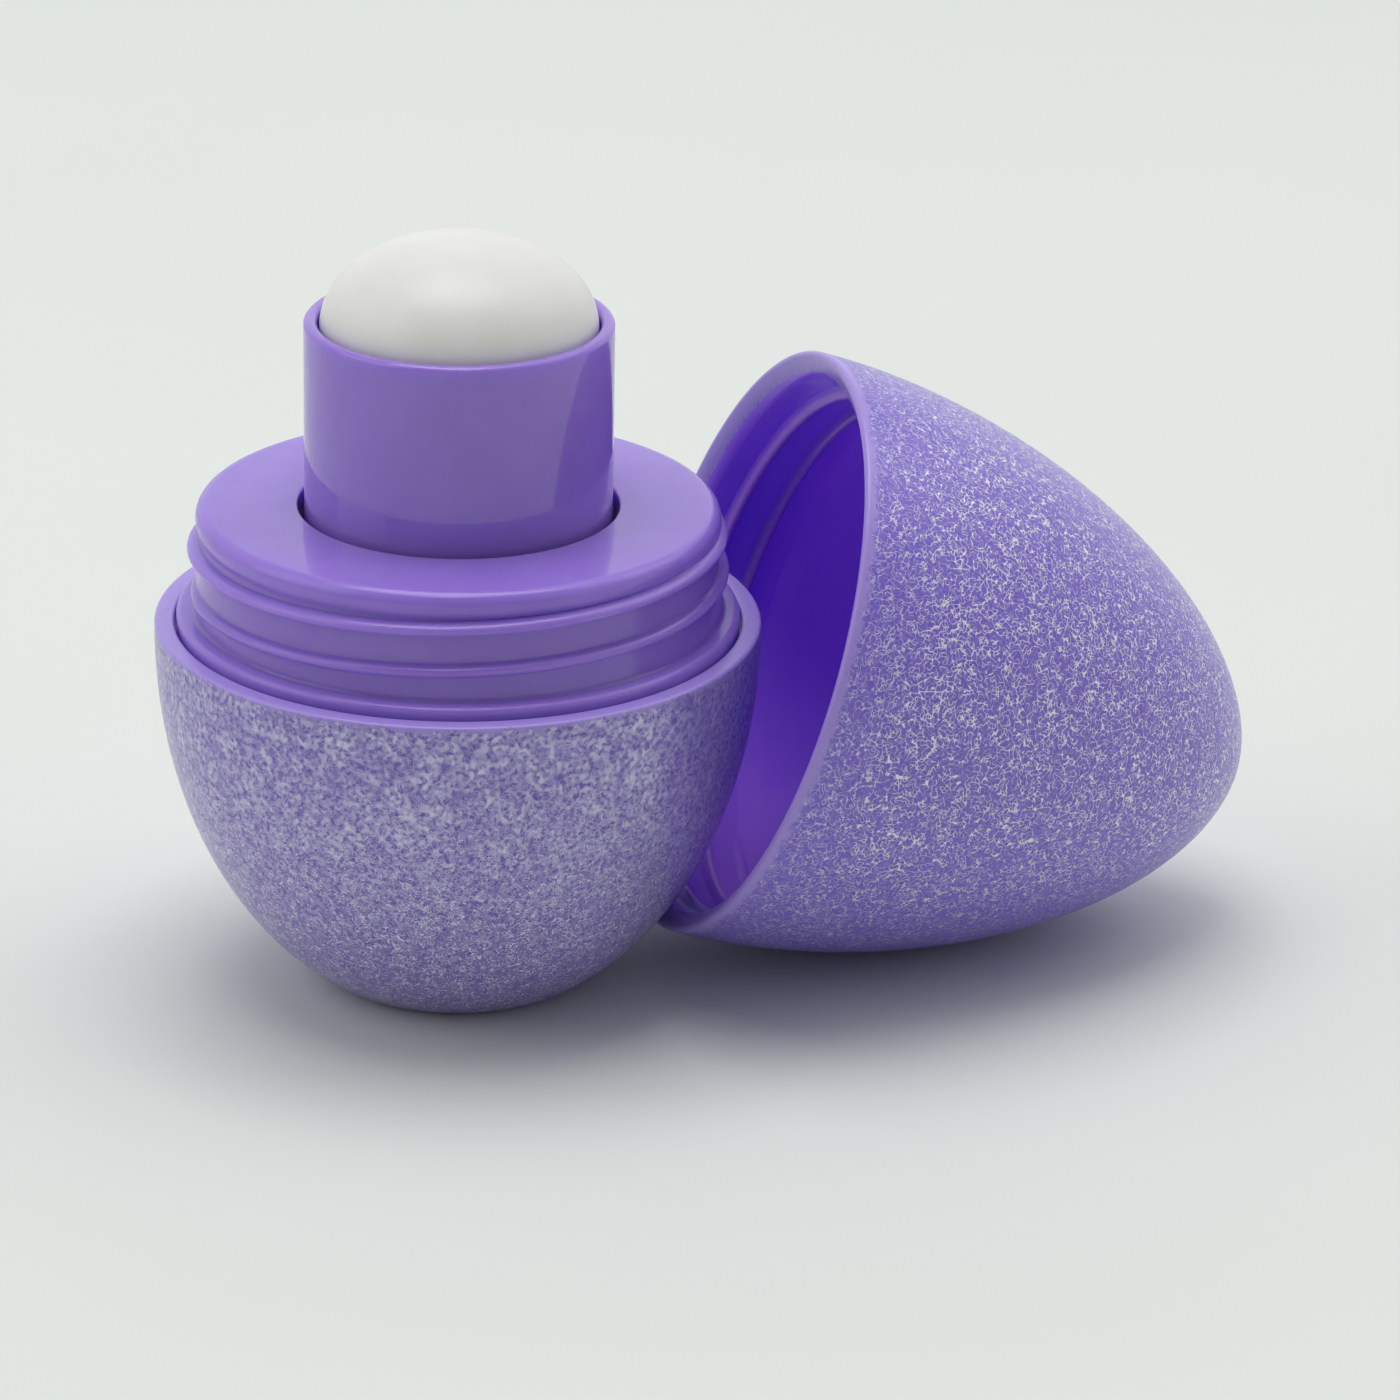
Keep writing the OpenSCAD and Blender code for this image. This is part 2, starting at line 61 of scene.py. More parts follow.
# Sizes that come from the frame
EGG_R = node_box("base_cup")[1].x
CUP_H = node_box("base_cup")[1].z
NECK_TOP = node_box("screw_neck")[1].z
FLANGE_R = node_box("screw_neck")[1].x
TUBE_FOOT_R = node_box("turning_tube")[1].x
TUBE_FOOT_Z = node_box("turning_tube")[0].z
TUBE_TOP = node_box("turning_tube")[1].z
BALM_R = node_box("balm")[1].x
BALM_FOOT = node_box("balm")[0].z
BALM_TOP = node_box("balm")[1].z
CARRIER_TOP = node_box("carrier")[1].z
SLEEVE_R = node_box("spiral_sleeve")[1].x
SLEEVE_FOOT = node_box("spiral_sleeve")[0].z

# Cup
FOOT_R = 10.5
FOOT_ROUND = 0.8
FOOT_ROUND_W = 1.04
CUP_BELLY = CUP_H - 0.8
CUP_FULLNESS = 2.06
CUP_DEPTH = CUP_BELLY / (1 - (FOOT_R / EGG_R) ** CUP_FULLNESS) ** (1 / CUP_FULLNESS)
CUP_WALL = 1.6
CUP_RIM_WALL = 1.65
CUP_RIM_ROUND = 0.3
FLOOR_T = 2.0
LEDGE_DEPTH = 1.6
LEDGE_W = 1.0
MOUTH_R = EGG_R - CUP_RIM_WALL
LEDGE_Z = CUP_H - LEDGE_DEPTH
BORE_R = MOUTH_R - LEDGE_W
CUP_SKIN = 0.5
CUP_RIM_IN = 0.1

# Neck
FLANGE_Z = CUP_H + 0.9
FLANGE_ROUND = 0.5
NECK_FOOT_R = FLANGE_R - 1.5
NECK_FILLET = 0.4
NECK_DRAFT = 0.5
NOTCH_R = NECK_FOOT_R - NECK_DRAFT
DISC_T = 1.5
DISC_Z = NECK_TOP - DISC_T
LIP_H = 2.2
NOTCH_Z = NECK_TOP - LIP_H
LIP_R = NOTCH_R + 0.35
LIP_ROUND = 1.1
NECK_WALL = 1.3
NECK_IN_R = NOTCH_R - NECK_WALL
SKIRT_R = BORE_R - 0.1
SKIRT_IN_R = SKIRT_R - NECK_WALL
SKIRT_Z = LEDGE_Z - 6
SKIRT_STEP_Z = LEDGE_Z - 0.5
DISC_SKIN = 0.02

# Socket and guide of the spiral sleeve
SOCKET_R = SLEEVE_R + 0.05
SOCKET_OUT_R = SOCKET_R + 1.3
SOCKET_H = 7.0
GUIDE_H = 4.5

# Screw thread
PITCH = 3.5
THREAD_H = 0.8
THREAD_W = 1.2
THREAD_DEPTH = NECK_DRAFT / 2 + 0.15
THREAD_ROOT = (NECK_FOOT_R + NOTCH_R) / 2
THREAD_GAP = 0.35
THREAD_FADE = 0.11
THREAD_FILLET = 0.12
THREAD_END = 0.25
THREAD_REACH = 0.3
THREAD_BLEND = 0.2
THREAD_STEPS = (0, 0.08, 0.16, 0.24, 0.32, 0.39, 0.45, 0.49, 0.53, 0.57, 0.61, 0.66, 0.73, 0.85)
THREAD_CLEAR = 1.05
CLEAR_STEPS = 7
NECK_THREAD = dict(z=CUP_H + 2.4, angle=145, turns=1.64)
CAP_THREAD = dict(z=2.6, angle=315, turns=2.2)

# Tube
TUBE_R = TUBE_FOOT_R - 1.2
TUBE_WALL = 1.13
TUBE_IN_R = TUBE_R - TUBE_WALL
TUBE_FOOT_T = 1.4
TUBE_RIM_ROUND = 0.47
HOLE_R = TUBE_R + 0.53
HOLE_ROUND = 0.25
THRUST_GAP = 0.15
SEAT_GAP = 0.3
RING_DROP = 1.6
RING_HALF = 0.6
RING_SEAT = 0.45

# Carrier and the slots for its lugs
CARRIER_PLAY = 0.08
CARRIER_WALL = 0.86
CARRIER_BORE_R = TUBE_IN_R - CARRIER_PLAY - CARRIER_WALL
LUG_RISE = 14.8
LUG_Z = TUBE_FOOT_Z + LUG_RISE
LIFT_DOWN = 8
LIFT_UP = 12.5
SLOT_R = 1.75
SLOT_STEPS = 16

# Balm
DOME_H = 7.4
DOME_Z = BALM_TOP - DOME_H
DOME_FULLNESS = 2.15
SHOULDER = 1

# Cap, in its own frame: rim at height 0 and tip up
CAP_L = 46.4
CAP_BELLY = 1.9
CAP_FULLNESS_L = 1.82
CAP_FULLNESS_W = 1.74
CAP_WALL = 1.6
CAP_BORE_R = EGG_R - 2.1
CAP_BORE_L = 12.0
CAP_LEAD_IN = 0.4
CAP_LEAD_L = 1.6
CAP_BEVEL = 0.8
CAP_RIM_ROUND = 0.4
CAP_TILT = math.radians(18.9)
CAP_GAP = 0.3
CAP_BORE_BLEND = 1.7
CAP_BARE_L = 0.6
CAP_SKIN = 0.7

# Fineness of the meshes
COLUMNS = 288
CURVE_STEPS = 72
ROUND_STEPS = 8
ANGLES = np.radians(np.linspace(0, 360, COLUMNS + 1))


def arc(x, y, r, start, end, n=ROUND_STEPS):
    """Points of an arc about (x, y), from one angle in degrees to another."""
    turns = np.radians(np.linspace(start, end, n + 1))
    return [(x + r * math.cos(a), y + r * math.sin(a)) for a in turns]


def bend(p, q, s, n=ROUND_STEPS):
    """Points of a curve that leaves p for q and ends at s."""
    p, q, s = (np.array(v, float) for v in (p, q, s))
    steps = np.linspace(0, 1, n + 1)
    return [tuple((1 - u) ** 2 * p + 2 * u * (1 - u) * q + u * u * s) for u in steps]


def quarter(r, height, z, full_r, full_z, start, end, n=CURVE_STEPS):
    """Points of a quarter of a full ellipse whose widest ring, of radius r, is at height z."""
    turns = np.radians(np.linspace(start, end, n + 1))
    return [(r * abs(math.cos(a)) ** (2 / full_r), z + height * abs(math.sin(a)) ** (2 / full_z))
            for a in turns]


def width_angle(share, fullness):
    """Angle in degrees at which such a quarter has a share of its full width."""
    return math.degrees(math.acos(share ** (fullness / 2)))


def length_angle(share, fullness):
    """Angle in degrees at which such a quarter has a share of its full length."""
    return math.degrees(math.asin(share ** (fullness / 2)))


def cup_curve(inset, start, end, n=CURVE_STEPS):
    """Points of the cup's curve, drawn in by inset."""
    depth = CUP_DEPTH - inset
    return quarter(EGG_R - inset, -depth, CUP_BELLY, CUP_FULLNESS, CUP_FULLNESS, start, end, n)


def cup_width_angle(inset, r):
    """Angle in degrees at which the cup's curve has a radius r."""
    return width_angle(r / (EGG_R - inset), CUP_FULLNESS)


def cup_height_angle(inset, z):
    """Angle in degrees at which the cup's curve has a height z."""
    return length_angle((CUP_BELLY - z) / (CUP_DEPTH - inset), CUP_FULLNESS)


def cup_radius(z):
    """Radius of the cup's outside at height z."""
    return EGG_R * (1 - ((CUP_BELLY - z) / CUP_DEPTH) ** CUP_FULLNESS) ** (1 / CUP_FULLNESS)


def cap_radius(along):
    """Radius of the cap's outside at a distance from its rim."""
    share = min(1, max(0, (along - CAP_BELLY) / (CAP_L - CAP_BELLY)))
    return EGG_R * (1 - share ** CAP_FULLNESS_L) ** (1 / CAP_FULLNESS_W)


def inside_cup(r, z):
    """Whether a place on the cup belongs to its bare inside."""
    return r < MOUTH_R + CUP_RIM_IN and r < cup_radius(min(z, CUP_BELLY)) - CUP_SKIN and z > FLOOR_T / 2


def below_disc(r, z):
    """Whether a place on the neck lies below its flat top."""
    return z < NECK_TOP - DISC_SKIN


def inside_cap(r, along):
    """Whether a place on the cap belongs to its glossy inside."""
    return CAP_BARE_L < along < CAP_L - CAP_WALL / 2 and r < cap_radius(along) - CAP_SKIN


def rings(outline):
    """One ring of points round the Z axis for each point of an outline."""
    return [np.column_stack([r * np.cos(ANGLES), r * np.sin(ANGLES), np.full_like(ANGLES, z)])
            for r, z in outline]


def screw_band(low, high, wall, thread, root, tip):
    """Rings between the heights low and high of a wall that carries a screw ridge.

    The rings climb with the thread, so that its edges run along them. wall gives the radius of the
    wall at a height. The ridge is half an ellipse that rises from below the radius root to tip.
    """
    side = math.copysign(1, tip - root)
    foot = root - side * THREAD_DEPTH
    half = THREAD_W / 2
    ridge = {sign * step for step in THREAD_STEPS for sign in (-1, 1)}
    phases = sorted(ridge | set(np.linspace(THREAD_CLEAR, PITCH - THREAD_CLEAR, CLEAR_STEPS)))
    turn = ANGLES / (2 * math.pi) - thread["angle"] / 360
    first = math.floor((low - thread["z"]) / PITCH) - 1
    last = math.ceil((high - thread["z"]) / PITCH) + 2
    band = []
    for k in range(first, last + 1):
        for phase in phases:
            z = np.clip(thread["z"] + PITCH * (k + turn) + phase, low, high)
            r = wall(z)
            stand = np.full_like(r, -1.0)
            for step in (-1, 0, 1):
                done = k + step + turn
                grown = np.clip(np.minimum(done, thread["turns"] - done) / THREAD_FADE, 0, 1)
                full = THREAD_END + (1 - THREAD_END) * grown
                share = (z - thread["z"] - PITCH * done) / half
                crest = foot + (tip - foot) * full * np.sqrt(np.clip(1 - share ** 2, 0, 1))
                there = (abs(share) < 1) & (done >= 0) & (done <= thread["turns"])
                stand = np.where(there, side * (crest - r), stand)
            rise = (stand + np.sqrt(stand ** 2 + THREAD_FILLET ** 2)) / 2
            r = r + side * rise * np.clip((stand + THREAD_REACH) / THREAD_BLEND, 0, 1)
            band.append(np.column_stack([r * np.cos(ANGLES), r * np.sin(ANGLES), z]))
    return band


def lathe(name, grid, closed):
    """A mesh through rings of points in millimetres. Where they coincide they become one point."""
    points = np.array(grid)
    rows, columns = points.shape[:2]
    mesh = bpy.data.meshes.new(name)
    faces = []
    for i in range(rows if closed else rows - 1):
        a, b = i * columns, (i + 1) % rows * columns
        faces += [(a + j, a + j + 1, b + j + 1, b + j) for j in range(columns - 1)]
    mesh.from_pydata((points.reshape(-1, 3) * MM).tolist(), [], faces)
    shape = bmesh.new()
    shape.from_mesh(mesh)
    bmesh.ops.remove_doubles(shape, verts=shape.verts, dist=2e-7)
    bmesh.ops.dissolve_degenerate(shape, edges=shape.edges, dist=1e-7)
    loose = [v for v in shape.verts if not v.link_faces]
    bmesh.ops.delete(shape, geom=loose, context="VERTS")
    shape.to_mesh(mesh)
    shape.free()
    mesh.shade_smooth()
    mesh.set_sharp_from_angle(angle=math.radians(50))
    piece = bpy.data.objects.new(name, mesh)
    bpy.context.scene.collection.objects.link(piece)
    return piece


def finish_inside(piece, test):
    """Gives the second material to the faces whose centre passes the test, in millimetres."""
    for face in piece.data.polygons:
        centre = face.center / MM
        if test(math.hypot(centre.x, centre.y), centre.z):
            face.material_index = 1


def cut_away(piece, cutter):
    """Takes the cutter's space out of a piece and removes the cutter."""
    modifier = piece.modifiers.new("cut", "BOOLEAN")
    modifier.operation = "DIFFERENCE"
    modifier.solver = "EXACT"
    modifier.object = cutter
    bpy.context.view_layer.update()
    made = bpy.data.meshes.new_from_object(piece.evaluated_get(bpy.context.evaluated_depsgraph_get()))
    piece.modifiers.clear()
    old = piece.data
    piece.data = made
    bpy.data.meshes.remove(old)
    bpy.data.objects.remove(cutter)


# The pieces

def make_cup():
    """Lower half of the egg: rounded foot, bare rim, ledge for the neck and socket for the sleeve."""
    foot_start = cup_height_angle(0, FOOT_ROUND)
    rim_z = CUP_H - CUP_RIM_ROUND
    socket_z = SLEEVE_FOOT + SOCKET_H
    thrust_z = TUBE_FOOT_Z - THRUST_GAP
    seat_r = TUBE_FOOT_R + SEAT_GAP
    wall_from = cup_width_angle(CUP_WALL, BORE_R)
    socket_at = cup_width_angle(CUP_WALL, SOCKET_OUT_R)
    well_from = cup_width_angle(CUP_WALL, TUBE_IN_R)
    floor_at = cup_height_angle(CUP_WALL, FLOOR_T)
    outline = [(0, 0)]
    outline += bend((FOOT_R - FOOT_ROUND_W, 0), (FOOT_R, 0), cup_curve(0, foot_start, foot_start, 1)[0])
    outline += cup_curve(0, foot_start, 0)[1:]
    outline += arc(EGG_R - CUP_RIM_ROUND, rim_z, CUP_RIM_ROUND, 0, 90)
    outline += arc(MOUTH_R + CUP_RIM_ROUND, rim_z, CUP_RIM_ROUND, 90, 180)
    outline += [(MOUTH_R, LEDGE_Z), (BORE_R, LEDGE_Z)]
    outline += cup_curve(CUP_WALL, wall_from, socket_at, 40)
    outline += [(SOCKET_OUT_R, socket_z), (SOCKET_R, socket_z), (SOCKET_R, SLEEVE_FOOT)]
    outline += [(seat_r, SLEEVE_FOOT), (seat_r, thrust_z), (TUBE_IN_R, thrust_z)]
    outline += cup_curve(CUP_WALL, well_from, floor_at, 12)
    outline += [(0, FLOOR_T)]
    return lathe("cup_shell", rings(outline), False)


def make_neck():
    """Threaded neck with its flange below, its lip above and the tube's hole in its flat top."""
    low = FLANGE_Z + NECK_FILLET
    lip_z = NECK_TOP - LIP_ROUND
    top_z = NECK_TOP - HOLE_ROUND
    guide_z = DISC_Z - GUIDE_H
    lip = bend((NOTCH_R, NOTCH_Z), (LIP_R, (NOTCH_Z + lip_z) / 2), (LIP_R, lip_z), 12)
    wall_r, wall_z = zip((NECK_FOOT_R, low), *lip)

    def wall(z):
        return np.interp(z, wall_z, wall_r)

    below = [(SKIRT_IN_R, SKIRT_Z), (SKIRT_R, SKIRT_Z), (SKIRT_R, LEDGE_Z), (FLANGE_R, LEDGE_Z)]
    below += arc(FLANGE_R - FLANGE_ROUND, FLANGE_Z - FLANGE_ROUND, FLANGE_ROUND, 0, 90)
    below += bend((NECK_FOOT_R + NECK_FILLET, FLANGE_Z), (NECK_FOOT_R, FLANGE_Z), (NECK_FOOT_R, low))
    above = arc(LIP_R - LIP_ROUND, lip_z, LIP_ROUND, 0, 90)
    above += arc(HOLE_R + HOLE_ROUND, top_z, HOLE_ROUND, 90, 180)
    above += [(HOLE_R, DISC_Z), (SOCKET_R, DISC_Z), (SOCKET_R, guide_z), (SOCKET_OUT_R, guide_z)]
    above += [(SOCKET_OUT_R, DISC_Z), (NECK_IN_R, DISC_Z), (NECK_IN_R, SKIRT_STEP_Z)]
    above += [(SKIRT_IN_R, SKIRT_STEP_Z - NECK_WALL)]
    band = screw_band(low, lip_z, wall, NECK_THREAD, THREAD_ROOT, THREAD_ROOT + THREAD_H)
    return lathe("neck_shell", rings(below) + band + rings(above), True)


def slot_cutter():
    """Block through the tube with the outline of the two slots for the carrier's lugs."""
    ends = arc(0, LUG_Z - LIFT_DOWN, SLOT_R, 180, 360, SLOT_STEPS)
    ends += arc(0, LUG_Z + LIFT_UP, SLOT_R, 0, 180, SLOT_STEPS)
    half = TUBE_FOOT_R + 1
    n = len(ends)
    points = [(x * MM, y * MM, z * MM) for x in (-half, half) for y, z in ends]
    sides = [(i, (i + 1) % n, n + (i + 1) % n, n + i) for i in range(n)]
    mesh = bpy.data.meshes.new("slot")
    mesh.from_pydata(points, [], sides + [tuple(range(n))[::-1], tuple(range(n, 2 * n))])
    solid = bmesh.new()
    solid.from_mesh(mesh)
    bmesh.ops.recalc_face_normals(solid, faces=solid.faces)
    solid.to_mesh(mesh)
    solid.free()
    cutter = bpy.data.objects.new("slot", mesh)
    bpy.context.scene.collection.objects.link(cutter)
    return cutter


def make_tube():
    """Turning tube with its rounded rim, its foot flange and the two slots for the carrier's lugs."""
    rim_z = TUBE_TOP - TUBE_RIM_ROUND
    foot_top = TUBE_FOOT_Z + TUBE_FOOT_T
    ring_z = DISC_Z - RING_DROP
    ring_low = ring_z - RING_HALF
    ring_high = ring_z + RING_HALF
    seat_r = TUBE_R - RING_SEAT
    outline = [(TUBE_IN_R, TUBE_FOOT_Z), (TUBE_FOOT_R, TUBE_FOOT_Z)]
    outline += [(TUBE_FOOT_R, foot_top), (TUBE_R, foot_top)]
    outline += [(TUBE_R, ring_low), (seat_r, ring_low), (seat_r, ring_high), (TUBE_R, ring_high)]
    outline += arc(TUBE_R - TUBE_RIM_ROUND, rim_z, TUBE_RIM_ROUND, 0, 90)
    outline += arc(TUBE_IN_R + TUBE_RIM_ROUND, rim_z, TUBE_RIM_ROUND, 90, 180)
    tube = lathe("tube_shell", rings(outline), True)
    cut_away(tube, slot_cutter())
    return tube


def make_balm():
    """Moulded balm, cast into its carrier."""
    outline = [(0, BALM_FOOT), (CARRIER_BORE_R, BALM_FOOT), (CARRIER_BORE_R, CARRIER_TOP)]
    outline += [(BALM_R, CARRIER_TOP), (BALM_R, DOME_Z - SHOULDER)]
    outline += quarter(BALM_R, DOME_H, DOME_Z, DOME_FULLNESS, 2, 0, 90)
    return lathe("balm_stick", rings(outline), False)


def make_cap():
    """Upper half of the egg as it lies: plain rim, threaded mouth and smooth dome.

    Returns it with the direction of its axis and the distance of its rim along that axis.
    """
    fullness = (CAP_FULLNESS_W, CAP_FULLNESS_L)
    outside = quarter(EGG_R, CAP_L - CAP_BELLY, CAP_BELLY, *fullness, 0, 90, 120)
    bevel = (CAP_BORE_R + CAP_LEAD_IN - EGG_R + CAP_RIM_ROUND, CAP_BEVEL - CAP_RIM_ROUND)
    tangent = math.acos(CAP_RIM_ROUND / math.hypot(*bevel))
    bevel_end = math.degrees(math.atan2(bevel[1], bevel[0]) + tangent)
    rim = [(CAP_BORE_R + CAP_LEAD_IN, CAP_BEVEL)]
    rim += arc(EGG_R - CAP_RIM_ROUND, CAP_RIM_ROUND, CAP_RIM_ROUND, bevel_end, 360)
    depth = CAP_L - CAP_BELLY - CAP_WALL
    mouth_end = length_angle((CAP_BORE_L - CAP_BELLY) / depth, CAP_FULLNESS_L)
    inside = quarter(EGG_R - CAP_WALL, depth, CAP_BELLY, *fullness, 90, mouth_end, 80)

    def wall(z):
        return np.interp(z, (CAP_BORE_L - CAP_BORE_BLEND, CAP_BORE_L), (CAP_BORE_R, inside[-1][0]))

    crest_r = THREAD_ROOT + THREAD_GAP
    band = screw_band(CAP_LEAD_L, CAP_BORE_L, wall, CAP_THREAD, CAP_BORE_R, crest_r)[::-1]
    sin, cos = math.sin(CAP_TILT), math.cos(CAP_TILT)
    z = max(along * sin + r * cos for r, along in outside)
    x = CAP_GAP + max(cup_radius(z - r * cos - along * sin) + r * sin - along * cos for r, along in rim)
    cap = lathe("cap_shell", rings(rim + outside) + rings(inside) + band, True)
    finish_inside(cap, inside_cap)
    lying = Matrix.Rotation(math.pi / 2 + CAP_TILT, 4, "Y")
    cap.data.transform(Matrix.Translation(Vector((x, 0, z)) * MM) @ lying)
    return cap, (cos, 0, -sin), x * cos - z * sin


# Materials

def material(name):
    """A new material with its node tree, its main shader and its object coordinates."""
    made = bpy.data.materials.new(name)
    made.use_nodes = True
    nodes = made.node_tree.nodes
    shader = next(n for n in nodes if n.type == "BSDF_PRINCIPLED")
    coordinates = nodes.new("ShaderNodeTexCoord")
    return made, shader, coordinates.outputs["Object"]


def colour(red, green, blue):
    """A linear colour from the values 0 to 255 of a screen colour."""
    def linear(v):
        v = v / 255
        return v / 12.92 if v <= 0.04045 else ((v + 0.055) / 1.055) ** 2.4
    return (linear(red), linear(green), linear(blue), 1)


class Tree:
    """Short ways to add and link nodes."""

    def __init__(self, made):
        self.tree = made.node_tree

    def link(self, source, socket):
        self.tree.links.new(source, socket)

    def add(self, kind, **values):
        node = self.tree.nodes.new(kind)
        for key, value in values.items():
            setattr(node, key, value)
        return node

    def noise(self, vector, size, detail):
        """Noise whose grains are about size millimetres across."""
        node = self.add("ShaderNodeTexNoise")
        node.inputs["Scale"].default_value = 1 / (size * MM)
        node.inputs["Detail"].default_value = detail
        self.link(vector, node.inputs["Vector"])
        return node

    def spread(self, value, low, high, to_low=0.0, to_high=1.0, smooth=False):
        """Maps a value from one range to another."""
        node = self.add("ShaderNodeMapRange", interpolation_type="SMOOTHSTEP" if smooth else "LINEAR")
        limits = {"From Min": low, "From Max": high, "To Min": to_low, "To Max": to_high}
        for socket, number in limits.items():
            node.inputs[socket].default_value = number
        self.link(value, node.inputs["Value"])
        return node.outputs["Result"]

    def grain(self, vector, size, detail, span, wanted=(0.0, 1.0)):
        """Noise that is mapped from a span of its values to a wanted one."""
        return self.spread(self.noise(vector, size, detail).outputs["Fac"], *span, *wanted)

    def reach(self, distance, span, wanted=(0.0, 1.0), smooth=False):
        """Maps a distance from a span in millimetres to a wanted span of values."""
        return self.spread(distance, span[0] * MM, span[1] * MM, *wanted, smooth)

    def maths(self, operation, a, b=None):
        """One sum of values, each a number or an output."""
        node = self.add("ShaderNodeMath", operation=operation)
        for socket, value in zip(node.inputs, (a, b)):
            if isinstance(value, (int, float)):
                socket.default_value = value
            elif value is not None:
                self.link(value, socket)
        return node.outputs[0]

    def times(self, a, b):
        return self.maths("MULTIPLY", a, b)

    def mix(self, share, a, b):
        """A colour between a and b."""
        node = self.add("ShaderNodeMix", data_type="RGBA")
        self.link(share, node.inputs[0])
        for socket, value in ((node.inputs[6], a), (node.inputs[7], b)):
            if isinstance(value, tuple):
                socket.default_value = value
            else:
                self.link(value, socket)
        return node.outputs[2]

    def bump(self, height, strength, distance):
        """A normal from a height, where distance is in millimetres."""
        node = self.add("ShaderNodeBump")
        node.inputs["Strength"].default_value = strength
        node.inputs["Distance"].default_value = distance * MM
        self.link(height, node.inputs["Height"])
        return node.outputs["Normal"]


PLASTIC = colour(154, 124, 217)
PLASTIC_DEEP = colour(149, 118, 212)
# Cap's bare inside: its own violet, made lighter to stand in for light shining through the wall (painted
# glow)
INSIDE_PAINTED_GLOW = colour(178, 126, 241)
INSIDE_PAINTED_GLOW_DEEP = colour(172, 120, 237)
RIM = colour(168, 144, 226)
SHELL = colour(122, 94, 209)
SHELL_HAZE = colour(152, 140, 220)
FLECK = colour(250, 249, 255)
CUP_BASE = colour(112, 87, 184)
SILVER = colour(194, 191, 223)
SHEEN = colour(228, 232, 244)
WAX = colour(230, 230, 227)
WAX_DEEP = colour(226, 225, 221)
INNER = colour(190, 182, 212)
INNER_DEEP = colour(180, 172, 204)
RUBBER = colour(78, 72, 92)
RUBBER_DEEP = colour(66, 60, 80)

# Sizes of the glitter, and distances over which it comes and goes, in millimetres
SWIRL = 0.5
CAP_STROKE = 0.48
CAP_CLOUD = 0.5
CAP_COVER = (0.5, 1.2)
CAP_DENSE = (1, 8)
# Heights over which the cap's strokes and pale clouding fade out downwards: painted shade
CAP_PAINTED_SHADE = (1, 11)
CUP_STROKE = 0.4
CUP_FLECK = 0.45
CUP_LINE = 0.55
CUP_CLOUD = 1.3
CUP_COVER = (0.1, 0.6)
CUP_FADE = (8, 26)
CUP_LOW = (4, 22)
RAGGED = 0.3

# Distances of a noise from its middle over which a stroke and a softer line end
STROKE_EDGE = (0.01, 0.05)
LINE_EDGE = (0.02, 0.12)


def gloss_plastic(name, roughness, index, depth, main=PLASTIC, deep=PLASTIC_DEEP):
    """Moulded glossy plastic that light enters: faint clouding and a gloss that varies a little."""
    made, shader, place = material(name)
    tree = Tree(made)
    tree.link(tree.mix(tree.grain(place, 9, 3, (0.35, 0.65)), main, deep), shader.inputs["Base Color"])
    gloss = tree.grain(place, 2.5, 3, (0.3, 0.7), (roughness * 0.85, roughness * 1.15))
    tree.link(gloss, shader.inputs["Roughness"])
    shader.inputs["IOR"].default_value = index
    ripple = tree.noise(place, 6, 1)
    tree.link(tree.bump(ripple.outputs["Fac"], 0.03, 0.2), shader.inputs["Normal"])
    shader.inputs["Subsurface Weight"].default_value = 0.6
    shader.inputs["Subsurface Radius"].default_value = (1, 0.7, 1.6)
    shader.inputs["Subsurface Scale"].default_value = depth * MM
    return made


def warped(tree, place, amount):
    """A place that wanders in swirls by up to amount millimetres."""
    swirl = tree.noise(place, SWIRL, 1)
    offset = tree.add("ShaderNodeVectorMath", operation="MULTIPLY_ADD")
    tree.link(swirl.outputs["Color"], offset.inputs[0])
    offset.inputs[1].default_value = (amount * MM,) * 3
    tree.link(place, offset.inputs[2])
    return offset.outputs[0]


def rim_distance(tree, place, axis, rim):
    """Distance from a rim, whose plane lies rim millimetres along its axis, with a ragged edge."""
    along = tree.add("ShaderNodeVectorMath", operation="DOT_PRODUCT")
    tree.link(place, along.inputs[0])
    along.inputs[1].default_value = axis
    away = tree.maths("SUBTRACT", along.outputs["Value"], rim * MM)
    return tree.maths("ADD", away, tree.grain(place, 0.7, 2, (0.3, 0.7), (-RAGGED * MM, RAGGED * MM)))


def contour(tree, place, size, shift=0):
    """Distance of a soft noise from its middle value, which is nought along winding lines."""
    moved = tree.add("ShaderNodeVectorMath", operation="ADD")
    tree.link(place, moved.inputs[0])
    moved.inputs[1].default_value = (shift * MM,) * 3
    waves = tree.noise(moved.outputs[0], size, 0)
    return tree.maths("ABSOLUTE", tree.maths("SUBTRACT", waves.outputs["Fac"], 0.5))


def strokes(tree, place, size):
    """Two nets of fine winding strokes, each stronger in some places than in others."""
    swirled = warped(tree, place, 0.15)
    line = tree.spread(contour(tree, swirled, size), *STROKE_EDGE, 1, 0)
    strong = tree.times(line, tree.grain(place, 0.5, 0, (0.4, 0.48), (0.2, 1)))
    other = tree.spread(contour(tree, swirled, size * 0.9, 17), *STROKE_EDGE, 0.9, 0)
    faint = tree.times(other, tree.grain(place, 0.9, 0, (0.4, 0.55), (0.2, 1)))
    return tree.maths("MAXIMUM", strong, faint)


def shell_gloss(shader):
    """Satin gloss and soft sheen of the glitter shells."""
    shader.inputs["Roughness"].default_value = 0.3
    shader.inputs["Coat Weight"].default_value = 0.15
    shader.inputs["Coat Roughness"].default_value = 0.25
    shader.inputs["Sheen Weight"].default_value = 0.02
    shader.inputs["Sheen Roughness"].default_value = 0.4
    shader.inputs["Sheen Tint"].default_value = SHEEN


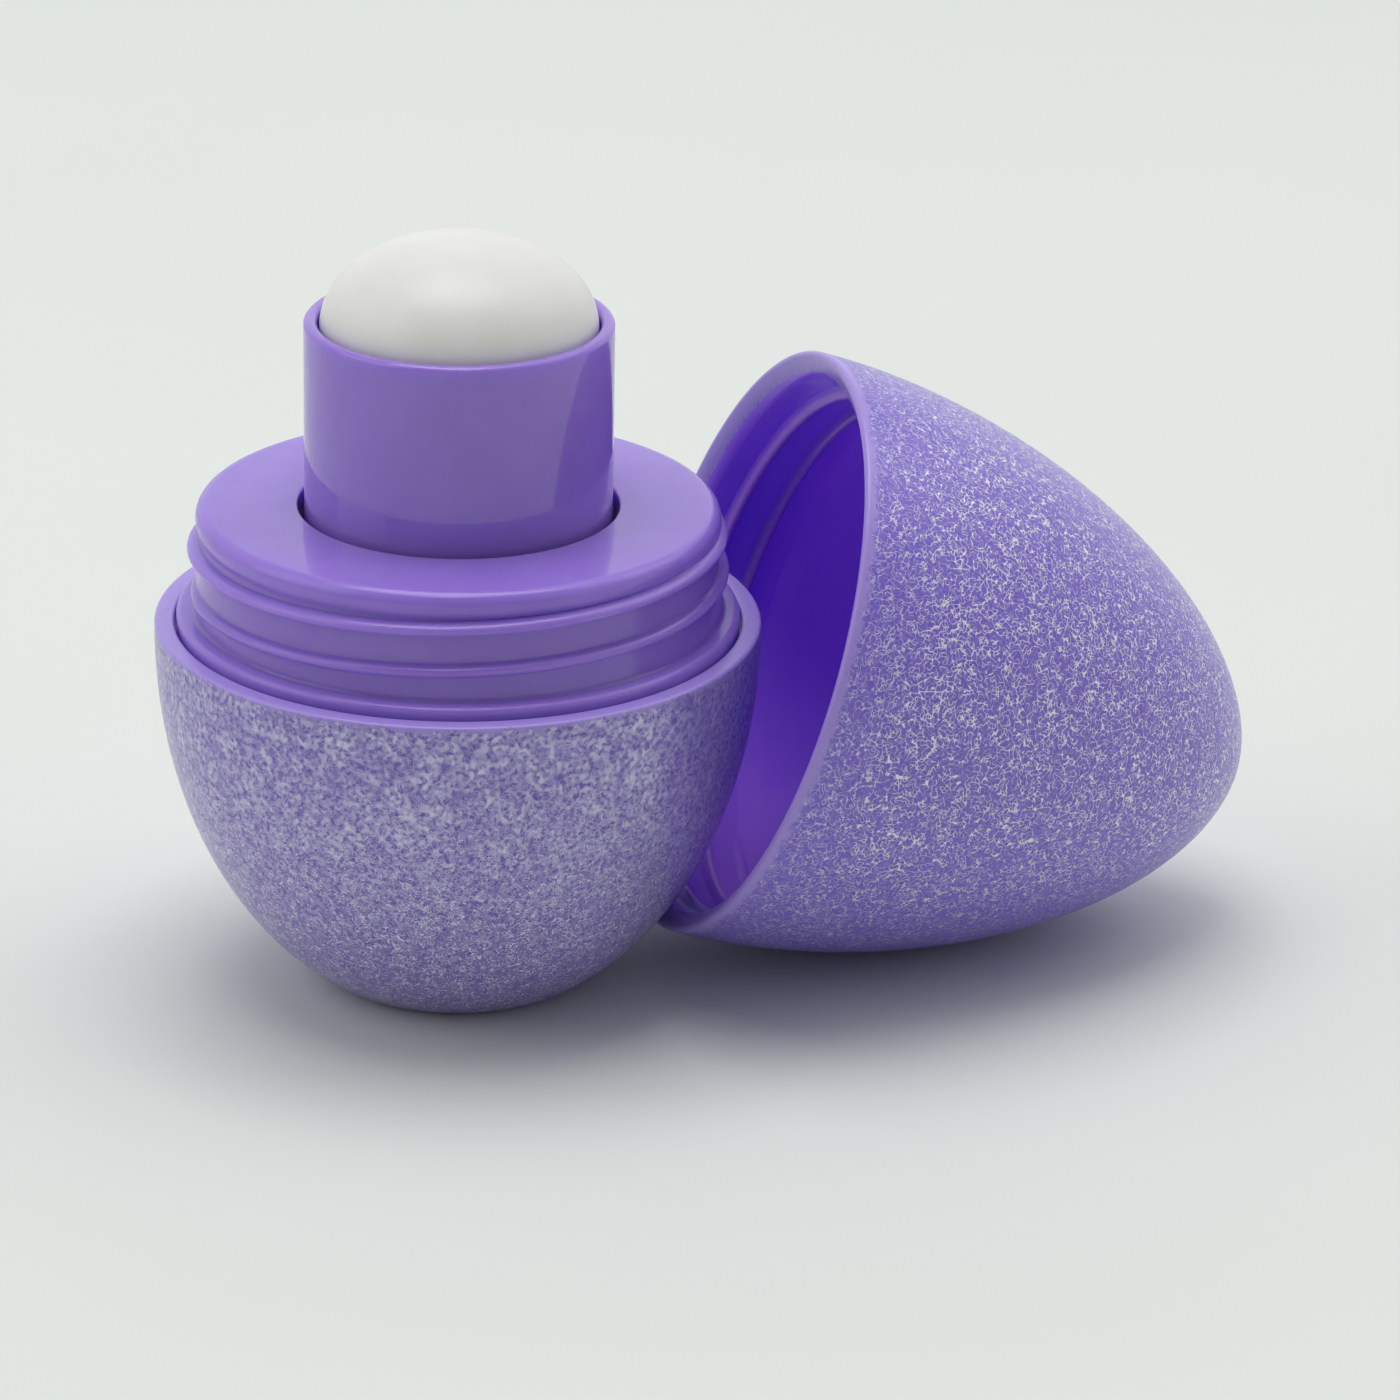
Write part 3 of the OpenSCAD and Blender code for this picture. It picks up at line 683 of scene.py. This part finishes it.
def cap_glitter(name, axis, rim):
    """Lilac plastic under a net of fine silvery strokes, sparser near the rim and, as painted shade, low
    down.
    """
    made, shader, place = material(name)
    tree = Tree(made)
    away = rim_distance(tree, place, axis, rim)
    covered = tree.reach(away, CAP_COVER, smooth=True)
    height = tree.add("ShaderNodeSeparateXYZ")
    tree.link(place, height.inputs[0])
    # Painted shade: strokes and pale clouding fade towards the bottom of the lying cap
    underside_painted_shade = tree.reach(height.outputs["Z"], CAP_PAINTED_SHADE, (0.2, 1))
    dense = tree.times(tree.reach(away, CAP_DENSE, (0.5, 1)), underside_painted_shade)
    stroke = tree.times(strokes(tree, place, CAP_STROKE), tree.times(covered, dense))
    cloud = tree.times(tree.grain(place, CAP_CLOUD, 1, (0.35, 0.65), (0, 0.4)), underside_painted_shade)
    under = tree.mix(covered, RIM, tree.mix(cloud, SHELL, SHELL_HAZE))
    tree.link(tree.mix(stroke, under, FLECK), shader.inputs["Base Color"])
    tree.link(tree.times(stroke, 0.6), shader.inputs["Metallic"])
    tree.link(tree.bump(stroke, 0.6, 0.08), shader.inputs["Normal"])
    shell_gloss(shader)
    return made


def cup_glitter(name, axis, rim):
    """Lilac plastic under soft silvery flecks that thin out lower down, where fine strokes take over."""
    made, shader, place = material(name)
    tree = Tree(made)
    away = rim_distance(tree, place, axis, rim)
    covered = tree.reach(away, CUP_COVER, smooth=True)
    swirled = warped(tree, place, 0.4)
    blobs = tree.grain(swirled, CUP_FLECK, 0, (0.34, 0.66))
    lines = tree.spread(contour(tree, swirled, CUP_LINE), *LINE_EDGE, 0.6, 0)
    clouds = tree.grain(place, CUP_CLOUD, 1, (0.3, 0.65), (0.4, 1))
    silver = tree.times(tree.maths("MAXIMUM", blobs, lines), clouds)
    silver = tree.times(silver, tree.times(covered, tree.reach(away, CUP_FADE, (1, 0.35))))
    under = tree.mix(silver, tree.mix(covered, RIM, CUP_BASE), SILVER)
    low = tree.reach(away, CUP_LOW, (0.2, 0.9))
    stroke = tree.times(strokes(tree, place, CUP_STROKE), tree.times(covered, low))
    tree.link(tree.mix(stroke, under, FLECK), shader.inputs["Base Color"])
    shine = tree.maths("ADD", tree.times(stroke, 0.4), tree.times(silver, 0.5))
    tree.link(shine, shader.inputs["Metallic"])
    tree.link(tree.bump(silver, 0.4, 0.08), shader.inputs["Normal"])
    shell_gloss(shader)
    return made


def wax(name):
    """Moulded balm: off-white, slightly see-through, with a soft satin skin."""
    made, shader, place = material(name)
    tree = Tree(made)
    tree.link(tree.mix(tree.grain(place, 7, 3, (0.35, 0.65)), WAX, WAX_DEEP), shader.inputs["Base Color"])
    shader.inputs["Subsurface Weight"].default_value = 0.35
    shader.inputs["Subsurface Radius"].default_value = (1.0, 0.9, 0.75)
    shader.inputs["Subsurface Scale"].default_value = 2.5 * MM
    tree.link(tree.grain(place, 1.6, 3, (0.3, 0.7), (0.3, 0.4)), shader.inputs["Roughness"])
    pores = tree.noise(place, 0.5, 3)
    tree.link(tree.bump(pores.outputs["Fac"], 0.08, 0.08), shader.inputs["Normal"])
    return made


def matte(name, light, dark, size, roughness):
    """Plain moulded plastic or rubber with a fine grain."""
    made, shader, place = material(name)
    tree = Tree(made)
    speckle = tree.noise(place, size, 3).outputs["Fac"]
    tree.link(tree.mix(tree.spread(speckle, 0.35, 0.65), light, dark), shader.inputs["Base Color"])
    shader.inputs["Roughness"].default_value = roughness
    tree.link(tree.bump(speckle, 0.3, 0.05), shader.inputs["Normal"])
    return made


def dress(piece, node, body, slot, *finishes):
    """Puts a shell in its node's place, on its body and with its finish."""
    for finish in finishes:
        piece.data.materials.append(finish)
    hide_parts(node)
    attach(piece, body)


# The floor, the lamps and the camera

FLOOR_COLOUR = colour(227, 231, 227)
FLOOR_CLOUD = colour(225, 229, 225)
FLOOR_HALF = 4.0
WORLD_COLOUR = colour(253, 255, 254)
WORLD_DIM = 0.19
WORLD_SIDES = (((1, 0, 0), 0.39), ((0, 1, 0), 0.64))
CAMERA_PLACE = Vector((-102.906, -481.843, 221.66)) * MM
CAMERA_FORWARD = Vector((0.2306739, 0.8990669, -0.3721132))
CAMERA_ROLL = math.radians(1.085)
LENS = 164.48


def make_camera():
    """Camera at the photograph's viewing angle."""
    data = bpy.data.cameras.new("camera")
    data.sensor_width = 36
    data.lens = LENS
    data.clip_start = 0.01
    data.clip_end = 20
    camera = bpy.data.objects.new("camera", data)
    bpy.context.scene.collection.objects.link(camera)
    camera.location = CAMERA_PLACE
    turn = CAMERA_FORWARD.to_track_quat("-Z", "Y") @ Matrix.Rotation(CAMERA_ROLL, 4, "Z").to_quaternion()
    camera.rotation_mode = "QUATERNION"
    camera.rotation_quaternion = turn
    bpy.context.scene.camera = camera


def make_floor():
    """Plain pale floor that reaches past the view."""
    made, shader, place = material("floor")
    tree = Tree(made)
    pale = tree.mix(tree.grain(place, 120, 2, (0.3, 0.7)), FLOOR_COLOUR, FLOOR_CLOUD)
    tree.link(pale, shader.inputs["Base Color"])
    shader.inputs["Roughness"].default_value = 0.9
    shader.inputs["Specular IOR Level"].default_value = 0.1
    corners = [(FLOOR_HALF * x, FLOOR_HALF * y, 0) for x, y in ((-1, -1), (1, -1), (1, 1), (-1, 1))]
    mesh = bpy.data.meshes.new("floor")
    mesh.from_pydata(corners, [], [(0, 1, 2, 3)])
    mesh.materials.append(made)
    floor = bpy.data.objects.new("floor", mesh)
    bpy.context.scene.collection.objects.link(floor)


def make_lamp(name, place, aim, size, power):
    """Soft square lamp at a place in metres."""
    data = bpy.data.lights.new(name, "AREA")
    data.size = size
    data.energy = power
    lamp = bpy.data.objects.new(name, data)
    bpy.context.scene.collection.objects.link(lamp)
    lamp.location = place
    lamp.rotation_mode = "QUATERNION"
    lamp.rotation_quaternion = (Vector(aim) - Vector(place)).to_track_quat("-Z", "Y")


def make_world():
    """Pale surroundings, dim in front and brighter behind and on the right."""
    world = bpy.data.worlds.new("world")
    bpy.context.scene.world = world
    world.use_nodes = True
    tree = Tree(world)
    background = next(n for n in world.node_tree.nodes if n.type == "BACKGROUND")
    background.inputs["Color"].default_value = WORLD_COLOUR
    direction = tree.add("ShaderNodeTexCoord").outputs["Generated"]
    strength = WORLD_DIM
    for axis, gain in WORLD_SIDES:
        share = tree.add("ShaderNodeVectorMath", operation="DOT_PRODUCT")
        tree.link(direction, share.inputs[0])
        share.inputs[1].default_value = axis
        side = tree.spread(share.outputs["Value"], 0, 1, 0, gain)
        strength = tree.maths("ADD", side, strength)
    tree.link(strength, background.inputs["Strength"])


make_camera()
make_floor()
make_world()
make_lamp("top", (-0.05, 0.1, 1.2), (0.02, 0, 0), size=0.8, power=6.8)
make_lamp("left", (-1.0, 0.0, 0.7), (0, 0, 0.03), size=1.0, power=3.5)
make_lamp("right", (0.7, 0.1, 1.0), (0, 0, 0.03), size=0.8, power=2.0)

plastic = gloss_plastic("gloss_plastic", roughness=0.05, index=1.56, depth=2)
satin = gloss_plastic("satin_plastic", roughness=0.2, index=1.5, depth=2)
# The cap's inside carries painted glow: its violet is lightened to stand in for light through its wall
inner_gloss = gloss_plastic("cap_inside_painted_glow", 0.2, 1.35, 3, INSIDE_PAINTED_GLOW, INSIDE_PAINTED_GLOW_DEEP)
balm_wax = wax("balm_wax")
inner_plastic = matte("inner_plastic", INNER, INNER_DEEP, size=0.6, roughness=0.5)
rubber = matte("seal_rubber", RUBBER, RUBBER_DEEP, size=0.3, roughness=0.75)

cup = make_cup()
dress(cup, "base_cup", "base", "glitter_shell", cup_glitter("cup_glitter", (0, 0, -1), -CUP_H), plastic)
finish_inside(cup, inside_cup)
neck = make_neck()
dress(neck, "screw_neck", "base", "gloss_plastic", plastic, satin)
finish_inside(neck, below_disc)
cap, cap_axis, cap_rim = make_cap()
dress(cap, "cap", "base", "glitter_shell", cap_glitter("cap_glitter", cap_axis, cap_rim), inner_gloss)
tube = make_tube()
dress(tube, "turning_tube", "tube", "gloss_plastic", plastic)
balm = make_balm()
dress(balm, "balm", "stick", "balm_wax", balm_wax)

inner_finishes = {"spiral_sleeve": inner_plastic, "carrier": inner_plastic, "rubber_ring": rubber}
for node, finish in inner_finishes.items():
    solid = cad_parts[node]
    solid.data.materials.clear()
    solid.data.materials.append(finish)

bpy.context.scene.view_settings.view_transform = "Standard"
